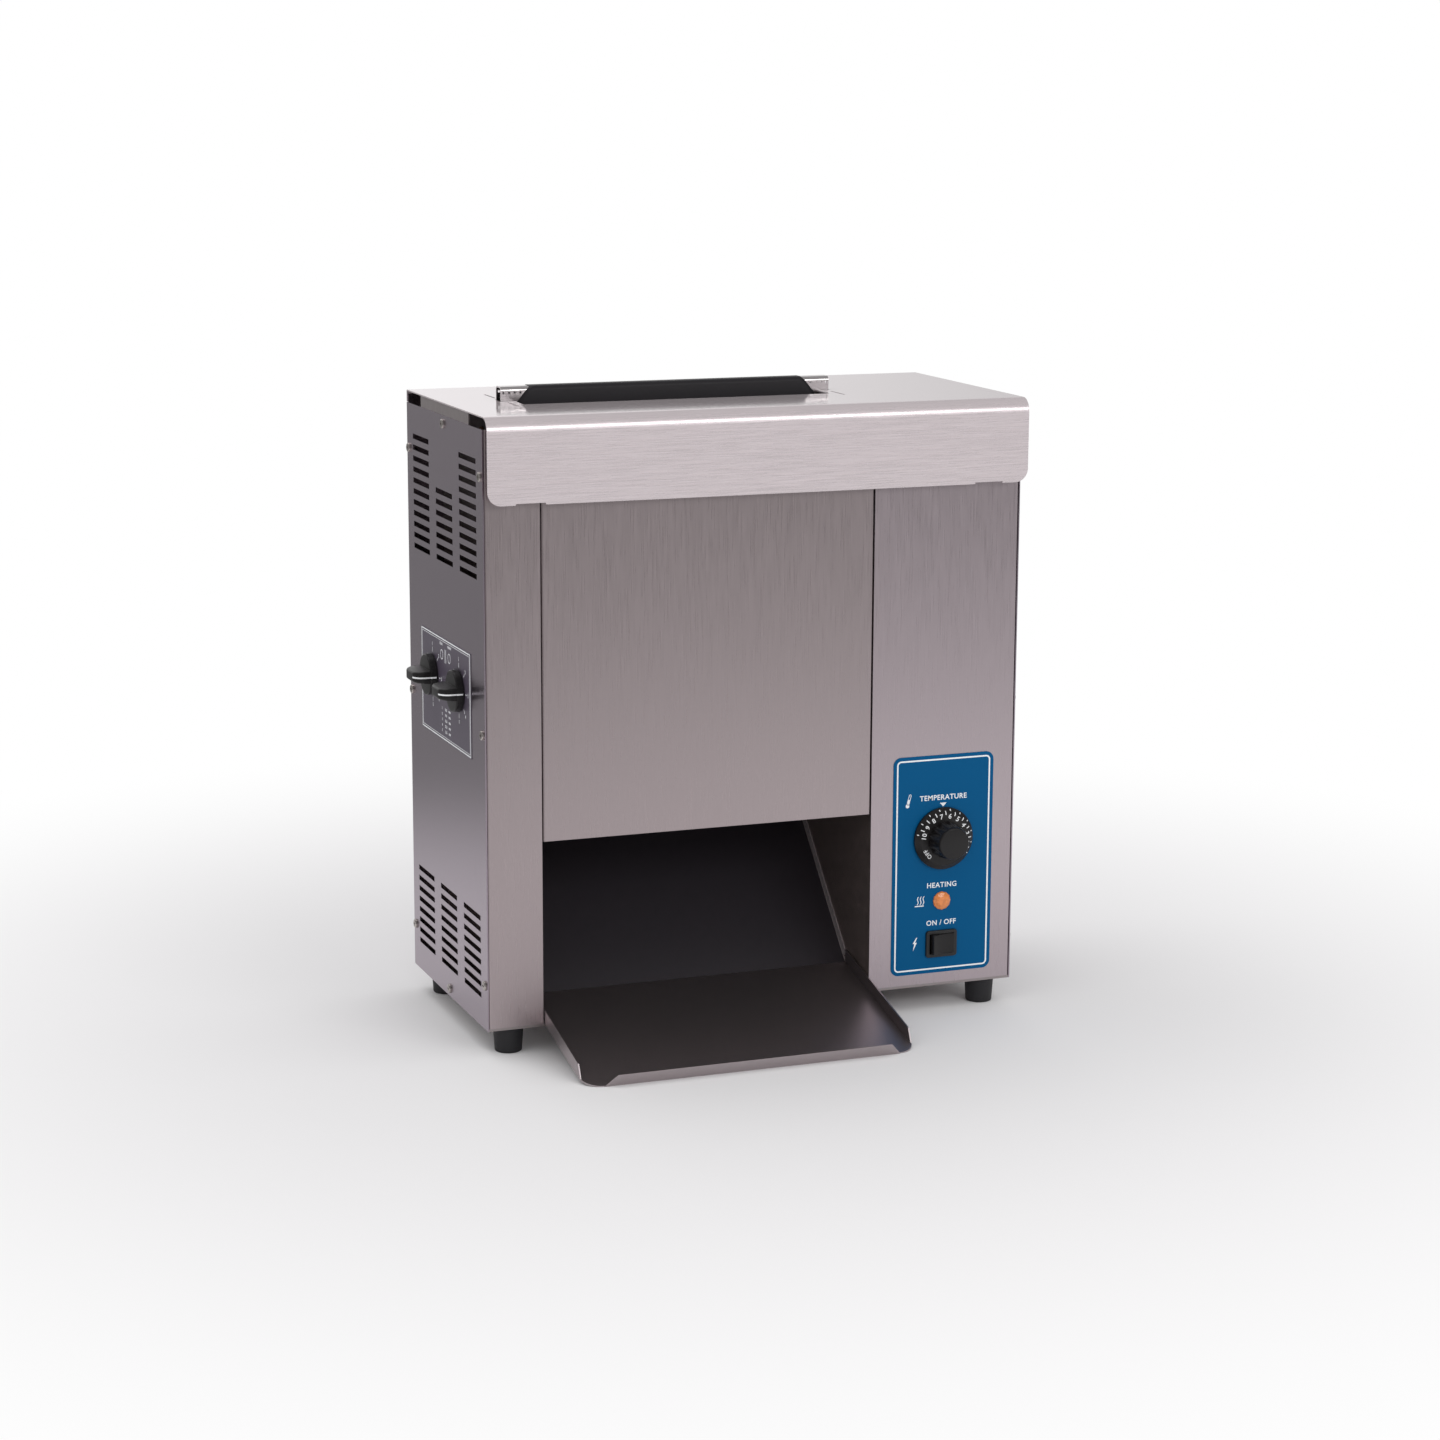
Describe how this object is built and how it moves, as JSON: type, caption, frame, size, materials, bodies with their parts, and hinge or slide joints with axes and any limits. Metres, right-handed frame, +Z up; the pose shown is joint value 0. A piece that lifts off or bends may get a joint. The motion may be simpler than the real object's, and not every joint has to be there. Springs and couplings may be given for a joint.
{
  "type": "vertical contact toaster",
  "caption": "Countertop bun toaster: bun halves drop past an upright heated platen and slide out on a front tray.",
  "frame": {"origin": "on the counter, under the middle of the whole part's box", "axes": "+Z up, front with the tray towards -Y, control column towards +X, pressure knobs towards -X"},
  "size_m": [0.5662, 0.3944, 0.6167],
  "materials": {
    "brushed_stainless": "vertical brushed",
    "top_stainless": "horizontal brushed, bright",
    "side_stainless": "fine brushed, dark",
    "tray_stainless": "brushed",
    "inner_stainless": "mill",
    "coated_chute": "black non-stick coating",
    "release_cloth": "coated glass cloth",
    "cast_aluminium": "as cast",
    "ground_steel": "ground",
    "gear_steel": "machined",
    "belt_wire": "drawn wire",
    "chain_steel": "oiled",
    "screw_steel": "bright",
    "zinc_steel": "zinc plated",
    "heater_sheath": "heat darkened",
    "bushing_bronze": "sintered",
    "foot_rubber": "moulded",
    "black_plastic": "moulded, satin",
    "blue_label": "printed polyester",
    "grey_label": "printed polyester",
    "amber_lens": "clear amber",
    "black_housing": "moulded",
    "motor_paint": "baked enamel"
  },
  "bodies": {
    "case": {"base_pan": "inner_stainless", "rubber_feet": "foot_rubber", "foot_screws": "screw_steel", "left_bulkhead": "inner_stainless", "right_bulkhead": "inner_stainless", "left_side_panel": "side_stainless", "left_panel_screws": "screw_steel", "right_side_panel": "side_stainless", "right_panel_screws": "screw_steel", "rear_cover": "side_stainless", "rear_cover_screws": "screw_steel", "front_left_column": "brushed_stainless", "control_column": "brushed_stainless", "control_label": "blue_label", "adjustment_label": "grey_label", "top_cover": "top_stainless", "cover_hanger_rod": "ground_steel", "platen": "cast_aluminium", "heating_elements": "heater_sheath", "platen_brackets": "zinc_steel", "platen_cap": "top_stainless", "release_sheet": "release_cloth", "tie_rods": "ground_steel", "shaft_bushings": "bushing_bronze", "gearmotor": "motor_paint", "motor_bracket": "zinc_steel", "drive_chain": "chain_steel", "bun_chute": "coated_chute", "thermostat_body": "black_housing", "indicator_lens": "amber_lens", "indicator_lamp_body": "black_housing", "switch_body": "black_plastic", "terminal_block": "black_housing", "cord_gland": "black_housing", "front_belt": "belt_wire", "rear_belt": "belt_wire"},
    "front_cover": {"front_cover": "brushed_stainless"},
    "bun_tray": {"bun_tray": "tray_stainless"},
    "thermostat_dial": {"thermostat_dial": "black_plastic", "thermostat_stem": "ground_steel"},
    "power_rocker": {"switch_rocker": "black_plastic"},
    "front_cam": {"front_camshaft": "ground_steel", "front_pressure_knob": "black_plastic"},
    "rear_cam": {"rear_camshaft": "ground_steel", "rear_pressure_knob": "black_plastic"},
    "front_plate": {"front_pressure_plate": "inner_stainless"},
    "rear_plate": {"rear_pressure_plate": "inner_stainless"},
    "front_drive": {"front_drive_shaft": "ground_steel", "front_drive_sprockets": "gear_steel", "front_drive_gear": "gear_steel"},
    "rear_drive": {"rear_drive_shaft": "ground_steel", "rear_drive_sprockets": "gear_steel", "rear_drive_gear": "gear_steel", "driven_sprocket": "gear_steel"},
    "front_idler": {"front_idler_shaft": "ground_steel", "front_idler_rollers": "gear_steel"},
    "rear_idler": {"rear_idler_shaft": "ground_steel", "rear_idler_rollers": "gear_steel"},
    "motor_output": {"motor_shaft": "ground_steel", "motor_sprocket": "gear_steel"}
  },
  "joints": [
    {"name": "front_cover_swing", "type": "hinge", "parent": "case", "child": "front_cover", "pos_m": [-0.03785, -0.0635, 0.55], "axis": [-1, 0, 0], "range_deg": [0, 24]},
    {"name": "bun_tray_slide", "type": "slide", "parent": "case", "child": "bun_tray", "axis": [0, -1, 0], "range_m": [0, 0.15]},
    {"name": "thermostat_dial_turn", "type": "hinge", "parent": "case", "child": "thermostat_dial", "pos_m": [0.20515, -0.06975, 0.174], "axis": [0, -1, 0], "range_deg": [-78, 234]},
    {"name": "power_rocker_tip", "type": "hinge", "parent": "case", "child": "power_rocker", "pos_m": [0.20515, -0.06755, 0.0676], "axis": [0, 0, 1], "range_deg": [-16, 0]},
    {"name": "front_cam_turn", "type": "hinge", "parent": "case", "child": "front_cam", "pos_m": [-0.03785, 0.01175, 0.336], "axis": [-1, 0, 0], "range_deg": [-90, 90]},
    {"name": "rear_cam_turn", "type": "hinge", "parent": "case", "child": "rear_cam", "pos_m": [-0.03785, 0.10075, 0.336], "axis": [-1, 0, 0], "range_deg": [-90, 90]},
    {"name": "front_plate_slide", "type": "slide", "parent": "case", "child": "front_plate", "axis": [0, 1, 0], "range_m": [-0.0025, 0.0025]},
    {"name": "rear_plate_slide", "type": "slide", "parent": "case", "child": "rear_plate", "axis": [0, -1, 0], "range_m": [-0.0025, 0.0025]},
    {"name": "rear_drive_spin", "type": "hinge", "parent": "case", "child": "rear_drive", "pos_m": [-0.03785, 0.10525, 0.24], "axis": [1, 0, 0], "continuous": true, "deforming": ["rear_belt", "drive_chain"]},
    {"name": "front_drive_spin", "type": "hinge", "parent": "case", "child": "front_drive", "pos_m": [-0.03785, 0.00725, 0.24], "axis": [1, 0, 0], "continuous": true, "deforming": ["front_belt"]},
    {"name": "front_idler_spin", "type": "hinge", "parent": "case", "child": "front_idler", "pos_m": [-0.03785, 0.00725, 0.56145], "axis": [1, 0, 0], "continuous": true},
    {"name": "rear_idler_spin", "type": "hinge", "parent": "case", "child": "rear_idler", "pos_m": [-0.03785, 0.10525, 0.56145], "axis": [1, 0, 0], "continuous": true},
    {"name": "motor_output_spin", "type": "hinge", "parent": "case", "child": "motor_output", "pos_m": [0.153, 0.10525, 0.3924], "axis": [1, 0, 0], "continuous": true}
  ],
  "couplings": [
    {"joint": "front_drive_spin", "follows": "rear_drive_spin", "ratio": -1},
    {"joint": "front_idler_spin", "follows": "rear_drive_spin", "ratio": -1},
    {"joint": "rear_idler_spin", "follows": "rear_drive_spin", "ratio": 1},
    {"joint": "motor_output_spin", "follows": "rear_drive_spin", "ratio": 1},
    {"joint": "front_cam_turn", "follows": "front_plate_slide", "rad_per_m": 628.3},
    {"joint": "rear_cam_turn", "follows": "rear_plate_slide", "rad_per_m": 628.3}
  ]
}
